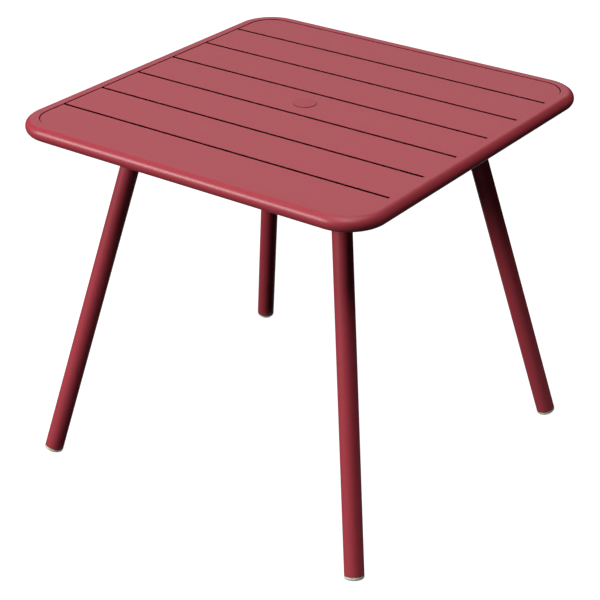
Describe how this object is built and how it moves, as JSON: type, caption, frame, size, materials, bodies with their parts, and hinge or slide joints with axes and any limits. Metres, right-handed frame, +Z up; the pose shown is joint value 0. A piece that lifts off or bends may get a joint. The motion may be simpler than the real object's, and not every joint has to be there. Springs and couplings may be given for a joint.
{
  "type": "dining table",
  "caption": "Square garden dining table of powder-coated aluminium: slatted top in a round-nosed rim, splayed tube legs with plastic glides, and a lift-out cap in the parasol hole.",
  "frame": {"origin": "on the floor, under the middle of the top", "axes": "+Z up, +X along the slats to the right, -Y towards the front"},
  "size_m": [0.8, 0.8, 0.74],
  "materials": {
    "powder_coat": "satin",
    "fasteners": "satin",
    "glide_plastic": "satin",
    "cap_plastic": "satin"
  },
  "bodies": {
    "table": {"rim_frame": "powder_coat", "slat_1": "powder_coat", "slat_2": "powder_coat", "slat_3": "powder_coat", "slat_4": "powder_coat", "slat_5": "powder_coat", "slat_6": "powder_coat", "slat_7": "powder_coat", "bearer_left": "powder_coat", "bearer_right": "powder_coat", "parasol_collar": "powder_coat", "plate_front_left": "powder_coat", "plate_front_right": "powder_coat", "plate_rear_left": "powder_coat", "plate_rear_right": "powder_coat", "leg_front_left": "powder_coat", "leg_front_right": "powder_coat", "leg_rear_left": "powder_coat", "leg_rear_right": "powder_coat", "bolts_front_left": "fasteners", "bolts_front_right": "fasteners", "bolts_rear_left": "fasteners", "bolts_rear_right": "fasteners", "washers_front_left": "fasteners", "washers_front_right": "fasteners", "washers_rear_left": "fasteners", "washers_rear_right": "fasteners", "nuts_front_left": "fasteners", "nuts_front_right": "fasteners", "nuts_rear_left": "fasteners", "nuts_rear_right": "fasteners", "glide_front_left": "glide_plastic", "glide_front_right": "glide_plastic", "glide_rear_left": "glide_plastic", "glide_rear_right": "glide_plastic"},
    "cap": {"parasol_cap": "cap_plastic"}
  },
  "joints": [
    {"name": "cap_lift", "type": "slide", "parent": "table", "child": "cap", "axis": [0, 0, 1], "range_m": [0, 0.06]}
  ]
}
